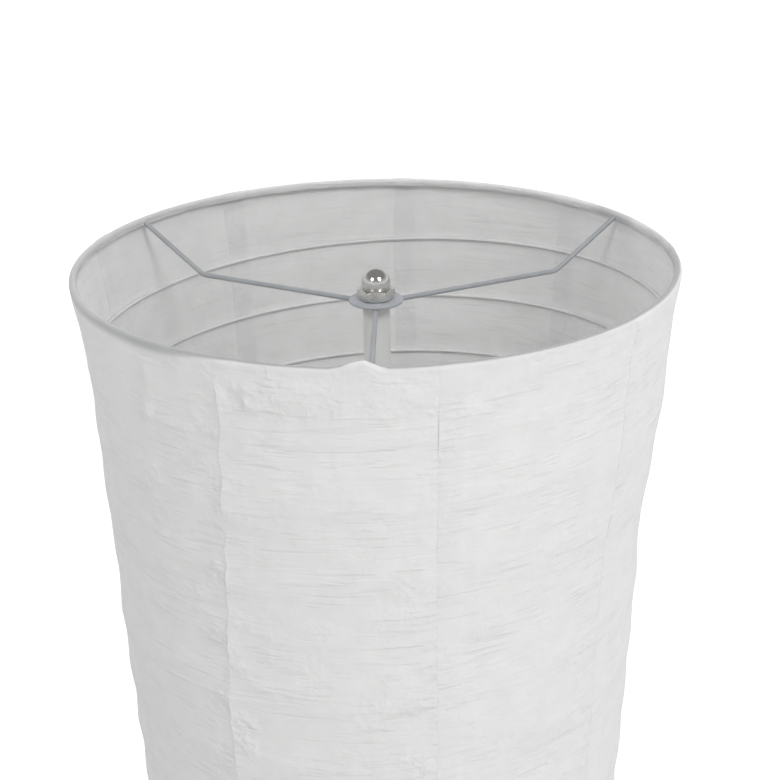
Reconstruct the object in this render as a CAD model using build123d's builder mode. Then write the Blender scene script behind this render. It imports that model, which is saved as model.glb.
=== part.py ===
import os
from math import ceil, cos, pi, radians, sin, sqrt

from build123d import *

# Two-light floor lamp: a tall column of crepe paper that hangs from a wire spider on a slim white
# pole, with two bulbs on bent arms inside it. Millimetres, +Z up, front at -Y.
# The origin is on the floor, on the axis of the pole, under the middle of the round base.

# Fits between pieces
press_gap = 0.05            # radial, between a spigot or thread and its bore
slip_gap = 0.2              # radial, where a washer or plate drops over a stud
body_gap = 0.4              # radial, between a bulb and its screw shell
glue_gap = 0.05             # between a wire and the paper glued to it

# Paper column
shade_floor_gap = 46.0      # floor to the lower edge of the paper
shade_length = 1204.0       # lower edge to rim
shade_top_diameter = 350.0
shade_waist_diameter = 292.0
shade_bottom_diameter = 350.0
paper_thickness = 0.6       # crepe paper with its folds and glue
gore_count = 9
first_seam_angle = -79.7    # degrees round from +X
hoop_spaces = 30
hoop_wire = 2.0
hoop_lean = 2.6             # degrees, lower on the left
rim_wire = 4.0

# Wire spider in the top of the column
spider_arms = {"front": -91.9, "right": 28.1, "left": 148.1}   # degrees round from +X
spider_wire = 3.0
spider_bend_reach = 127.0   # from the pole's axis out to the bend of each arm
spider_bend_drop = 28.7     # from the middle of the rim wire down to the bend
spider_bend_radius = 9.0
hub_diameter = 32.0
hub_thickness = 2.0
hub_drop = 24.2             # from the middle of the rim wire down to the middle of the hub
arm_lap = 4.5               # length of wire welded under the hub
weld_depth = 0.4

# Top fixing
stud_diameter = 10.0
stud_chamfer = 1.0
seat_washer_diameter = 20.0
seat_washer_thickness = 1.5
top_plug_depth = 18.0
nut_across_flats = 19.0
nut_hex_height = 7.0
nut_hex_chamfer = 1.4
nut_dome_radius = 8.0
nut_height = 18.0
nut_thread_depth = 11.0
stud_end_gap = 1.0          # from the end of the stud to the end of the nut's thread

# Pole and its two couplings
pole_diameter = 16.0
pole_wall = 1.0
lower_light_height = 310.0  # floor to the axis of the coupling's side socket
upper_light_height = 710.0
tee_diameter = 20.0
tee_height = 44.0
tee_spigot_depth = 15.0
tee_spigot_wall = 1.4
tee_boss_diameter = 16.0
tee_boss_reach = 18.0
arm_socket_depth = 10.0
arm_screw_diameter = 4.0
arm_screw_gap = 0.2         # the screw stops this far under the top of the boss
hex_key = 2.0
hex_key_depth = 1.5

# Bent arms that carry the holders
light_offset = 50.0         # pole axis to bulb axis
arm_tube_diameter = 10.0
arm_tube_bore = 8.0
arm_bend_radius = 25.0
arm_rise = 36.0             # from the coupling's side socket up to the holder
arm_entry = 8.0             # length of tube screwed into the holder

# Bulb holders
lock_nut_across_flats = 14.0
lock_nut_height = 3.5
holder_diameter = 36.0
holder_foot_diameter = 26.0
holder_cap_height = 24.0
holder_cap_taper = 9.0
holder_floor = 4.0
holder_wall = 2.0
holder_ledge = 3.0
core_height = 12.0
core_gap = 0.1
skirt_height = 32.0
skirt_lip = 0.8
screw_shell_wall = 0.5
screw_shell_height = 25.0
screw_shell_flange = 6.0
contact_diameter = 8.0
contact_base = 1.0
tongue_diameter = 5.0
tongue_rise = 2.0
bulb_contact_gap = 0.3

# Bulbs
bulb_length = 110.0
bulb_diameter = 60.0
bulb_neck_diameter = 28.0
bulb_shoulder_angle = 25.0  # degrees below the widest line where the cone leaves the ball
bulb_cap_diameter = 26.4
bulb_cap_length = 26.0
bulb_cap_wall = 0.5
bulb_tip_diameter = 9.0
bulb_tip_rise = 6.0
glass_wall = 1.0
glass_in_cap = 5.0

# Round base
base_diameter = 280.0
base_height = 26.0
cover_wall = 1.2
cover_edge_radius = 7.0
cover_lift = 1.0            # floor to the lower edge of the cover
weight_gap = 0.8            # round the weight, inside the cover
weight_plate = 10.0
weight_rim = 25.0
pad_thickness = 2.0
pad_inset = 3.0
foot_bush_height = 20.0
nipple_bore = 8.0
nipple_top_gap = 2.0
nipple_thread_below = 1.0
base_washer_diameter = 24.0
base_washer_thickness = 1.5
base_nut_across_flats = 17.0
base_nut_height = 5.0

# Mains inlet and wiring inside the stand
inlet_height = 8.5
inlet_bore = 7.0
inlet_body_diameter = 11.6
inlet_flange_diameter = 16.0
inlet_flange_thickness = 2.0
inlet_depth = 14.0
inlet_slot_width = 13.0
block_reach = 40.0          # pole axis to the terminal block
block_length = 24.0
block_width = 18.0
block_height = 12.0
lead_diameter = 2.6
lead_spacing = 3.0          # between the two leads, side by side in the pole
lead_height = 4.6           # where the leads leave the terminal block
lead_set_back = 0.8         # leads lie this far behind the pole's axis
lead_foot_radius = 9.0
lead_tee_radius = 13.0
lead_arm_shift = 1.8        # leads lie this far inside the bend of the arm

# Heights and radii that follow from the sizes above
rim_height = shade_floor_gap + shade_length - rim_wire / 2
bottom_ring_height = shade_floor_gap + rim_wire / 2
hoop_pitch = (rim_height - bottom_ring_height) / hoop_spaces
waist_height = (rim_height + bottom_ring_height) / 2
gore_angle = 360 / gore_count
hub_height = rim_height - hub_drop
hub_top = hub_height + hub_thickness / 2
hub_underside = hub_height - hub_thickness / 2
pole_top = hub_underside - seat_washer_thickness
pole_bore = pole_diameter - 2 * pole_wall
spigot_radius = pole_bore / 2 - press_gap
stud_radius = stud_diameter / 2
weight_top = base_height - cover_wall
plate_underside = weight_top - weight_plate
cover_inner_radius = base_diameter / 2 - cover_wall
weight_radius = cover_inner_radius - weight_gap
holder_inner_radius = holder_diameter / 2 - holder_wall
screw_shell_radius = bulb_cap_diameter / 2 + body_gap + screw_shell_wall


def paper_radius(height):
    """Radius over the paper at a height: wide at both ends, and narrowest halfway up."""
    end = shade_top_diameter if height > waist_height else shade_bottom_diameter
    share = (height - waist_height) / (rim_height - waist_height)
    return (shade_waist_diameter + (end - shade_waist_diameter) * share**2) / 2


def hoop_height(index):
    """Height of hoop number index, counted down from the rim."""
    return rim_height - index * hoop_pitch


def wire_radius(height, wire, lean=0.0):
    """Radius of a wire ring that touches the inside of the paper, however it leans."""
    reach = paper_radius(height) * sin(radians(lean))
    tightest = min(max(waist_height, height - reach), height + reach)
    return paper_radius(tightest) - paper_thickness - wire / 2 - glue_gap


def side_plane(angle):
    """Upright plane through the pole's axis: x runs outwards at the angle, y runs up."""
    out = radians(angle)
    return Plane((0, 0, 0), x_dir=(cos(out), sin(out), 0), z_dir=(sin(out), -cos(out), 0))


def keep(piece, node):
    """Name a finished piece and write its file."""
    piece.part.label = node
    export_step(piece.part, f"parts/{node}.step")


os.makedirs("parts", exist_ok=True)

# Rings of wire that hold the paper open at both ends
with BuildPart() as top_ring:
    with Locations((0, 0, rim_height)):
        Torus(wire_radius(rim_height, rim_wire), rim_wire / 2)
keep(top_ring, "top_ring")

with BuildPart() as bottom_ring:
    with Locations((0, 0, bottom_ring_height)):
        Torus(wire_radius(bottom_ring_height, rim_wire), rim_wire / 2)
keep(bottom_ring, "bottom_ring")

# Hoops inside the paper, all leaning a little the same way
hoop_groups = ("upper", "middle", "lower")
group_size = ceil((hoop_spaces - 1) / len(hoop_groups))
for turn, group in enumerate(hoop_groups):
    first = 1 + turn * group_size
    last = min(first + group_size, hoop_spaces)
    with BuildPart() as hoops:
        for index in range(first, last):
            height = hoop_height(index)
            with Locations(Location((0, 0, height), (0, -hoop_lean, 0))):
                Torus(wire_radius(height, hoop_wire, hoop_lean), hoop_wire / 2)
    keep(hoops, f"hoops_{group}")

# Paper strips side by side round the hoops, straight from hoop to hoop
outer_edge = [(paper_radius(hoop_height(i)), hoop_height(i)) for i in range(hoop_spaces + 1)]
outer_edge.insert(0, (outer_edge[0][0], rim_height + rim_wire / 2))
outer_edge.append((outer_edge[-1][0], shade_floor_gap))
inner_edge = [(radius - paper_thickness, height) for radius, height in outer_edge]
for number in range(gore_count):
    with BuildPart() as gore:
        with BuildSketch(side_plane(first_seam_angle + number * gore_angle)):
            with BuildLine():
                Polyline(*outer_edge, *reversed(inner_edge), close=True)
            make_face()
        revolve(axis=Axis.Z, revolution_arc=gore_angle)
    keep(gore, f"paper_gore_{number + 1}")

# Spider: a flat hub with three bent wires welded under it and to the rim
with BuildPart() as spider_hub:
    with BuildSketch(Plane.XY.offset(hub_underside)):
        Circle(hub_diameter / 2)
        Circle(stud_radius + slip_gap, mode=Mode.SUBTRACT)
    extrude(amount=hub_thickness)
keep(spider_hub, "spider_hub")

arm_start = hub_diameter / 2 - arm_lap
arm_start_height = hub_underside - spider_wire / 2 + weld_depth
for side, angle in spider_arms.items():
    with BuildPart() as spider_arm:
        with BuildLine(side_plane(angle)) as wire:
            FilletPolyline(
                (arm_start, arm_start_height),
                (spider_bend_reach, rim_height - spider_bend_drop),
                (wire_radius(rim_height, rim_wire), rim_height),
                radius=spider_bend_radius,
            )
        with BuildSketch(Plane(wire.line @ 0, z_dir=wire.line % 0)):
            Circle(spider_wire / 2)
        sweep()
        add(spider_hub.part, mode=Mode.SUBTRACT)
        add(top_ring.part, mode=Mode.SUBTRACT)
    keep(spider_arm, f"spider_arm_{side}")

# Washer between the end of the pole and the hub
with BuildPart() as seat_washer:
    with BuildSketch(Plane.XY.offset(pole_top)):
        Circle(seat_washer_diameter / 2)
        Circle(stud_radius + slip_gap, mode=Mode.SUBTRACT)
    extrude(amount=seat_washer_thickness)
keep(seat_washer, "seat_washer")

# Acorn nut: a chamfered hexagon under a dome, with a blind thread
hex_corner = nut_across_flats / sqrt(3)
with BuildPart() as cap_nut:
    with BuildSketch(Plane.XY.offset(hub_top)):
        RegularPolygon(nut_across_flats / 2, 6, major_radius=False)
    extrude(amount=nut_hex_height)
    with BuildSketch(Plane.XZ):
        with Locations((0, hub_top)):
            Polygon(
                (0, 0),
                (nut_across_flats / 2, 0),
                (hex_corner, nut_hex_chamfer / 2),
                (hex_corner, nut_hex_height - nut_hex_chamfer),
                (nut_dome_radius, nut_hex_height),
                (0, nut_hex_height),
                align=None,
            )
    revolve(axis=Axis.Z, mode=Mode.INTERSECT)
    with BuildSketch(Plane.XY.offset(hub_top)):
        Circle(nut_dome_radius)
    extrude(amount=nut_height - nut_dome_radius)
    with Locations((0, 0, hub_top + nut_height - nut_dome_radius)):
        Sphere(nut_dome_radius)
    with BuildSketch(Plane.XY.offset(hub_top)):
        Circle(stud_radius + press_gap)
    extrude(amount=nut_thread_depth, mode=Mode.SUBTRACT)
keep(cap_nut, "cap_nut")

# Plug pressed into the top of the pole, with the stud for the nut
with BuildPart() as top_plug:
    with BuildSketch(Plane.XY.offset(pole_top - top_plug_depth)):
        Circle(spigot_radius)
    extrude(amount=top_plug_depth)
    with BuildSketch(Plane.XY.offset(pole_top)):
        Circle(stud_radius)
    extrude(amount=hub_top + nut_thread_depth - stud_end_gap - pole_top)
    chamfer(top_plug.edges().sort_by(Axis.Z)[-1], length=stud_chamfer)
keep(top_plug, "top_plug")

# Pole: three lengths of tube between the base, the two couplings and the top
tee_half = tee_height / 2
pole_spans = {
    "pole_lower": (base_height, lower_light_height - tee_half),
    "pole_middle": (lower_light_height + tee_half, upper_light_height - tee_half),
    "pole_upper": (upper_light_height + tee_half, pole_top),
}
for node, (low, high) in pole_spans.items():
    with BuildPart() as tube:
        with BuildSketch(Plane.XY.offset(low)):
            Circle(pole_diameter / 2)
            Circle(pole_bore / 2, mode=Mode.SUBTRACT)
        extrude(amount=high - low)
    keep(tube, node)


def make_tee(height, out):
    """Coupling with a spigot at each end and a side boss that the arm is pushed into."""
    across = Plane((0, 0, height), x_dir=(0, 1, 0), z_dir=(out, 0, 0))
    socket_start = tee_boss_reach - arm_socket_depth
    screw_place = out * (tee_boss_reach - arm_socket_depth / 2)
    with BuildPart() as tee:
        with BuildSketch(Plane.XY.offset(height - tee_half)):
            Circle(tee_diameter / 2)
        extrude(amount=tee_height)
        chamfer(tee.edges().filter_by(GeomType.CIRCLE), length=1)
        with BuildSketch(Plane.XY.offset(height - tee_half - tee_spigot_depth)):
            Circle(spigot_radius)
        extrude(amount=tee_height + 2 * tee_spigot_depth)
        with BuildSketch(across):
            Circle(tee_boss_diameter / 2)
        extrude(amount=tee_boss_reach)
        with BuildSketch(across):
            Circle(arm_tube_bore / 2)
        extrude(amount=tee_boss_reach, mode=Mode.SUBTRACT)
        with BuildSketch(across.offset(socket_start)):
            Circle(arm_tube_diameter / 2 + press_gap)
        extrude(amount=arm_socket_depth, mode=Mode.SUBTRACT)
        with BuildSketch(Plane.XY.offset(height - tee_half - tee_spigot_depth)):
            Circle(spigot_radius - tee_spigot_wall)
        extrude(amount=tee_height + 2 * tee_spigot_depth, mode=Mode.SUBTRACT)
        with BuildSketch(Plane.XY.offset(height)):
            with Locations((screw_place, 0)):
                Circle(arm_screw_diameter / 2 + press_gap)
        extrude(amount=tee_boss_diameter, mode=Mode.SUBTRACT)
    return tee


def make_arm_screw(height, out):
    """Grub screw in the boss, down onto the arm."""
    low = height + arm_tube_diameter / 2 + press_gap
    high = height + tee_boss_diameter / 2 - arm_screw_gap
    place = out * (tee_boss_reach - arm_socket_depth / 2)
    with BuildPart() as arm_screw:
        with BuildSketch(Plane.XY.offset(low)):
            with Locations((place, 0)):
                Circle(arm_screw_diameter / 2)
        extrude(amount=high - low)
        with BuildSketch(Plane.XY.offset(high)):
            with Locations((place, 0)):
                RegularPolygon(hex_key / 2, 6, major_radius=False)
        extrude(amount=-hex_key_depth, mode=Mode.SUBTRACT)
    return arm_screw


def make_socket_arm(height, out):
    """Bent tube from the coupling out and up to the holder."""
    with BuildPart() as socket_arm:
        with BuildLine(Plane.XZ) as bend:
            FilletPolyline(
                (out * (tee_boss_reach - arm_socket_depth), height),
                (out * light_offset, height),
                (out * light_offset, height + arm_rise + arm_entry),
                radius=arm_bend_radius,
            )
        with BuildSketch(Plane(bend.line @ 0, z_dir=bend.line % 0)):
            Circle(arm_tube_diameter / 2)
            Circle(arm_tube_bore / 2, mode=Mode.SUBTRACT)
        sweep()
    return socket_arm


def ring_from(profile, out):
    """Solid of revolution about the bulb's axis from (radius, height) corners."""
    with BuildPart() as ring:
        with BuildSketch(Plane.XZ.move(Location((out * light_offset, 0, 0)))):
            Polygon(*profile, align=None)
        revolve(axis=Axis((out * light_offset, 0, 0), (0, 0, 1)))
    return ring


def make_lock_nut(foot, out):
    """Thin hexagon nut on the arm's thread, tight under the holder."""
    with BuildPart() as lock_nut:
        with BuildSketch(Plane.XY.offset(foot - lock_nut_height)):
            with Locations((out * light_offset, 0)):
                RegularPolygon(lock_nut_across_flats / 2, 6, major_radius=False)
                Circle(arm_tube_diameter / 2 + press_gap, mode=Mode.SUBTRACT)
        extrude(amount=lock_nut_height)
    return lock_nut


def make_holder_cap(foot, out):
    """Lower cup of the holder: tapered outside, with a ledge inside for the core."""
    thread = arm_tube_diameter / 2 + press_gap
    ledge_height = foot + holder_cap_height - core_height
    ledge_radius = holder_inner_radius - holder_ledge
    return ring_from(
        [
            (thread, foot),
            (holder_foot_diameter / 2, foot),
            (holder_diameter / 2, foot + holder_cap_taper),
            (holder_diameter / 2, foot + holder_cap_height),
            (holder_inner_radius, foot + holder_cap_height),
            (holder_inner_radius, ledge_height),
            (ledge_radius, ledge_height),
            (holder_foot_diameter / 2 - holder_floor, foot + holder_floor),
            (thread, foot + holder_floor),
        ],
        out,
    )


def make_holder_core(foot, out):
    """Insulating disc on the ledge, which carries the shell and the contact."""
    low = foot + holder_cap_height - core_height
    with BuildPart() as core:
        with BuildSketch(Plane.XY.offset(low)):
            with Locations((out * light_offset, 0)):
                Circle(holder_inner_radius - core_gap)
        extrude(amount=core_height)
    return core


def make_holder_skirt(foot, out):
    """Upper sleeve of the holder, screwed down onto the cup."""
    low = foot + holder_cap_height
    high = low + skirt_height
    outer = holder_diameter / 2
    return ring_from(
        [
            (holder_inner_radius, low),
            (outer, low),
            (outer, high - skirt_lip),
            (outer - skirt_lip, high),
            (holder_inner_radius, high),
        ],
        out,
    )


def make_screw_shell(foot, out):
    """Brass shell that the bulb screws into, with its flange on the core."""
    low = foot + holder_cap_height
    inner = screw_shell_radius - screw_shell_wall
    return ring_from(
        [
            (screw_shell_radius - screw_shell_flange, low),
            (screw_shell_radius, low),
            (screw_shell_radius, low + screw_shell_height),
            (inner, low + screw_shell_height),
            (inner, low + screw_shell_wall),
            (screw_shell_radius - screw_shell_flange, low + screw_shell_wall),
        ],
        out,
    )


def make_contact(foot, out):
    """Centre contact on the core: a rivet head with a raised tongue."""
    low = foot + holder_cap_height
    return ring_from(
        [
            (0, low),
            (contact_diameter / 2, low),
            (contact_diameter / 2, low + contact_base),
            (tongue_diameter / 2, low + contact_base),
            (tongue_diameter / 2, low + contact_base + tongue_rise),
            (0, low + contact_base + tongue_rise),
        ],
        out,
    )


def make_bulb_cap(tip, out):
    """Screw cap of the bulb, from its contact tip up to the glass."""
    outer = bulb_cap_diameter / 2
    inner = outer - bulb_cap_wall
    tip_radius = bulb_tip_diameter / 2
    return ring_from(
        [
            (0, tip),
            (tip_radius, tip),
            (outer, tip + bulb_tip_rise),
            (outer, tip + bulb_cap_length),
            (inner, tip + bulb_cap_length),
            (inner, tip + bulb_tip_rise),
            (tip_radius, tip + bulb_cap_wall),
            (0, tip + bulb_cap_wall),
        ],
        out,
    )


def bulb_outline(tip, inset):
    """Outline of the glass from its neck up to its crown, drawn in by an inset."""
    ball = bulb_diameter / 2 - inset
    neck = bulb_neck_diameter / 2 - inset
    stem = bulb_cap_diameter / 2 - bulb_cap_wall - press_gap - inset
    centre = tip + bulb_length - bulb_diameter / 2
    down = radians(bulb_shoulder_angle)
    cone = (ball * cos(down) - neck) / sin(down)
    cone_top = (ball * cos(down), centre - ball * sin(down))
    cone_foot = (neck, cone_top[1] - cone * cos(down))
    rim = tip + bulb_cap_length
    halfway = (90 - bulb_shoulder_angle) / 2
    crest = (ball * cos(radians(halfway)), centre + ball * sin(radians(halfway)))
    stem_points = [(stem, rim - glass_in_cap), (stem, rim), (neck, rim + neck - stem), cone_foot]
    return stem_points + [cone_top], crest, (0, centre + ball)


def make_bulb_glass(tip, out):
    """Frosted glass envelope, open at its neck inside the cap."""
    outer, outer_crest, outer_top = bulb_outline(tip, 0)
    inner, inner_crest, inner_top = bulb_outline(tip, glass_wall)
    axis_x = out * light_offset
    with BuildPart() as glass:
        with BuildSketch(Plane.XZ.move(Location((axis_x, 0, 0)))):
            with BuildLine():
                Polyline(*outer)
                ThreePointArc(outer[-1], outer_crest, outer_top)
                Line(outer_top, inner_top)
                ThreePointArc(inner_top, inner_crest, inner[-1])
                Polyline(*reversed(inner))
                Line(inner[0], outer[0])
            make_face()
        revolve(axis=Axis((axis_x, 0, 0), (0, 0, 1)))
    return glass


def make_lead(height, out, side):
    """Lead from the terminal block up the pole, out through the coupling and up the arm."""
    row = side * lead_spacing / 2
    rise = -lead_set_back
    far = out * (light_offset - lead_arm_shift)
    end = height + arm_rise + holder_cap_height - core_height
    with BuildPart() as lead:
        with BuildLine() as route:
            FilletPolyline(
                (block_reach, row, lead_height),
                (rise, row, lead_height),
                (rise, row, height + lead_arm_shift),
                (far, row, height + lead_arm_shift),
                (far, row, end),
                radius=[lead_foot_radius, lead_tee_radius, arm_bend_radius - lead_arm_shift],
            )
        with BuildSketch(Plane(route.line @ 0, z_dir=route.line % 0)):
            Circle(lead_diameter / 2)
        sweep()
        expected = sum(run.length for run in route.edges()) * pi * lead_diameter**2 / 4
    print("lead volume over section times length:", round(lead.part.volume / expected, 4))
    return lead


# The two lights: the same pieces at two heights, on opposite sides of the pole
for light, height, out, side in (
    ("lower", lower_light_height, -1, 1),
    ("upper", upper_light_height, 1, -1),
):
    foot = height + arm_rise
    tip = foot + holder_cap_height + contact_base + tongue_rise + bulb_contact_gap
    keep(make_tee(height, out), f"{light}_tee")
    keep(make_arm_screw(height, out), f"{light}_arm_screw")
    keep(make_socket_arm(height, out), f"{light}_socket_arm")
    keep(make_lock_nut(foot, out), f"{light}_lock_nut")
    keep(make_holder_cap(foot, out), f"{light}_holder_cap")
    keep(make_holder_core(foot, out), f"{light}_holder_core")
    keep(make_holder_skirt(foot, out), f"{light}_holder_skirt")
    keep(make_screw_shell(foot, out), f"{light}_screw_shell")
    keep(make_contact(foot, out), f"{light}_contact")
    keep(make_bulb_cap(tip, out), f"{light}_bulb_cap")
    keep(make_bulb_glass(tip, out), f"{light}_bulb_glass")
    keep(make_lead(height, out, side), f"{light}_lead")

# Base cover: a pressed steel dish, open underneath
inlet_hole_radius = inlet_body_diameter / 2 + slip_gap
with BuildPart() as base_cover:
    with BuildSketch(Plane.XY.offset(cover_lift)):
        Circle(base_diameter / 2)
    extrude(amount=base_height - cover_lift)
    fillet(base_cover.edges().sort_by(Axis.Z)[-1], radius=cover_edge_radius)
    offset(amount=-cover_wall, openings=base_cover.faces().sort_by(Axis.Z)[0])
    with BuildSketch(Plane.XY.offset(base_height)):
        Circle(stud_radius + slip_gap)
    extrude(amount=-2 * cover_wall, mode=Mode.SUBTRACT)
    with BuildSketch(Plane.XZ.offset(-cover_inner_radius + weight_gap)):
        with Locations((0, inlet_height)):
            Circle(inlet_hole_radius)
    extrude(amount=-2 * (cover_wall + weight_gap), mode=Mode.SUBTRACT)
keep(base_cover, "base_cover")

# Cast weight under the cover: a plate with a deep rim, and a slot for the mains cord
with BuildPart() as base_weight:
    with BuildSketch(Plane.XY.offset(pad_thickness)):
        Circle(weight_radius)
    extrude(amount=weight_top - pad_thickness)
    fillet(base_weight.edges().sort_by(Axis.Z)[-1], radius=cover_edge_radius)
    with BuildSketch(Plane.XY.offset(pad_thickness)):
        Circle(weight_radius - weight_rim)
    extrude(amount=plate_underside - pad_thickness, mode=Mode.SUBTRACT)
    with BuildSketch(Plane.XY.offset(pad_thickness)):
        with Locations((0, weight_radius - weight_rim / 2)):
            Rectangle(inlet_slot_width, 2 * weight_rim)
    extrude(amount=plate_underside - pad_thickness, mode=Mode.SUBTRACT)
    with BuildSketch(Plane.XY.offset(weight_top)):
        Circle(stud_radius + slip_gap)
    extrude(amount=-weight_plate, mode=Mode.SUBTRACT)
keep(base_weight, "base_weight")

with BuildPart() as base_pad:
    with BuildSketch(Plane.XY):
        Circle(weight_radius - pad_inset)
    extrude(amount=pad_thickness)
keep(base_pad, "base_pad")

# Threaded tube that clamps pole, cover and weight together
with BuildPart() as pole_foot_bush:
    with BuildSketch(Plane.XY.offset(base_height)):
        Circle(spigot_radius)
        Circle(stud_radius + press_gap, mode=Mode.SUBTRACT)
    extrude(amount=foot_bush_height)
keep(pole_foot_bush, "pole_foot_bush")

nut_top = plate_underside - base_washer_thickness
nipple_low = nut_top - base_nut_height - nipple_thread_below
with BuildPart() as base_nipple:
    with BuildSketch(Plane.XY.offset(nipple_low)):
        Circle(stud_radius)
        Circle(nipple_bore / 2, mode=Mode.SUBTRACT)
    extrude(amount=base_height + foot_bush_height - nipple_top_gap - nipple_low)
keep(base_nipple, "base_nipple")

with BuildPart() as base_washer:
    with BuildSketch(Plane.XY.offset(nut_top)):
        Circle(base_washer_diameter / 2)
        Circle(stud_radius + slip_gap, mode=Mode.SUBTRACT)
    extrude(amount=base_washer_thickness)
keep(base_washer, "base_washer")

with BuildPart() as base_nut:
    with BuildSketch(Plane.XY.offset(nut_top - base_nut_height)):
        RegularPolygon(base_nut_across_flats / 2, 6, major_radius=False)
        Circle(stud_radius + press_gap, mode=Mode.SUBTRACT)
    extrude(amount=base_nut_height)
keep(base_nut, "base_nut")

# Inlet for the mains cord in the back of the base
cover_back = base_diameter / 2
with BuildPart() as cord_bushing:
    with BuildSketch(Plane.XZ.offset(-cover_back)):
        with Locations((0, inlet_height)):
            Circle(inlet_flange_diameter / 2)
    extrude(amount=-inlet_flange_thickness)
    with BuildSketch(Plane.XZ.offset(-cover_back)):
        with Locations((0, inlet_height)):
            Circle(inlet_body_diameter / 2)
    extrude(amount=inlet_depth)
    add(base_cover.part, mode=Mode.SUBTRACT)
    with BuildSketch(Plane.XZ.offset(-cover_back - inlet_flange_thickness)):
        with Locations((0, inlet_height)):
            Circle(inlet_bore / 2)
    extrude(amount=inlet_depth + inlet_flange_thickness, mode=Mode.SUBTRACT)
keep(cord_bushing, "cord_bushing")

# Terminal block fixed under the plate of the weight
with BuildPart() as terminal_block:
    with BuildSketch(Plane.XY.offset(plate_underside - block_height)):
        with Locations((block_reach + block_length / 2, 0)):
            Rectangle(block_length, block_width)
    extrude(amount=block_height)
keep(terminal_block, "terminal_block")
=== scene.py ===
from math import atan2, ceil, cos, floor, pi, radians, sin, sqrt, tan

import bpy
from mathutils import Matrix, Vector, noise


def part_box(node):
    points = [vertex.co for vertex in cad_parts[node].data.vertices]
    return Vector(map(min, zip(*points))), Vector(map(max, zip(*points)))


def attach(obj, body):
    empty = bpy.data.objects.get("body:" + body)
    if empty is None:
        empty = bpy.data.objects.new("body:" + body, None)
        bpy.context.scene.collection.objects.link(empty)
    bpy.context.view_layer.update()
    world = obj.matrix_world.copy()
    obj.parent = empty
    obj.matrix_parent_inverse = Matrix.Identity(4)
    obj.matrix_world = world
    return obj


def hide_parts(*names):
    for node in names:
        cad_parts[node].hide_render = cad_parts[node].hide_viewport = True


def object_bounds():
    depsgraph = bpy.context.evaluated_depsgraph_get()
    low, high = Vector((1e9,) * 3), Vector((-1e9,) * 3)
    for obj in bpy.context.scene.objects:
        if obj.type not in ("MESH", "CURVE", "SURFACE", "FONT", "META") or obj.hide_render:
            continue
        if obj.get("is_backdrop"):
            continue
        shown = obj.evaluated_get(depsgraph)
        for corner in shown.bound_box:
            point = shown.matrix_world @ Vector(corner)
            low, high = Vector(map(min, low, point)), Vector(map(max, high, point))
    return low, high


# The looks of a tall paper floor lamp with two lights, built up from the floor: base, pole, lights,
# wire frame, paper, nut. Metres, +Z up, front at -Y, the pole on the Z axis.
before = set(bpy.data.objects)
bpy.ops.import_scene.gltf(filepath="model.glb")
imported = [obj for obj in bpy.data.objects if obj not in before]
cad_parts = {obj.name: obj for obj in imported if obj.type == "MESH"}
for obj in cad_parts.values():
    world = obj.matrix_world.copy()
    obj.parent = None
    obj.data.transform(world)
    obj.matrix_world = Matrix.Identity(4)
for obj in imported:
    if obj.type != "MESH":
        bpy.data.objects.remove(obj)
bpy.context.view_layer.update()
MM = 0.001


# Felt pad under the base
# A disc of pressed grey wool felt, stamped out and glued under the cast weight.
# Its fibres lie every way, so its tone is mottled and its surface is fuzzy and dull.
def node_group(name, inputs, outputs):
    """Node group with nothing in it but its named sockets."""
    group = bpy.data.node_groups.new(name, "ShaderNodeTree")
    for in_out, sockets in (("INPUT", inputs), ("OUTPUT", outputs)):
        for socket_name, kind in sockets.items():
            group.interface.new_socket(name=socket_name, in_out=in_out, socket_type="NodeSocket" + kind)
    return group, group.nodes.new("NodeGroupInput"), group.nodes.new("NodeGroupOutput")


def maths(nodes, operation, second=0.5):
    """Maths node with its second value, which a link may replace."""
    step = nodes.new("ShaderNodeMath")
    step.operation = operation
    step.inputs[1].default_value = second
    return step


def ranged(nodes, low, high, at_low=0, at_high=1):
    """Map range node."""
    curve = nodes.new("ShaderNodeMapRange")
    curve.inputs["From Min"].default_value = low
    curve.inputs["From Max"].default_value = high
    curve.inputs["To Min"].default_value = at_low
    curve.inputs["To Max"].default_value = at_high
    return curve


def mix_of_tones(nodes, second=(0.5, 0.5, 0.5, 1)):
    """Mix node for colours, with its second one, which a link may replace."""
    mixed = nodes.new("ShaderNodeMix")
    mixed.data_type = "RGBA"
    mixed.inputs["B"].default_value = second
    return mixed


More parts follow.
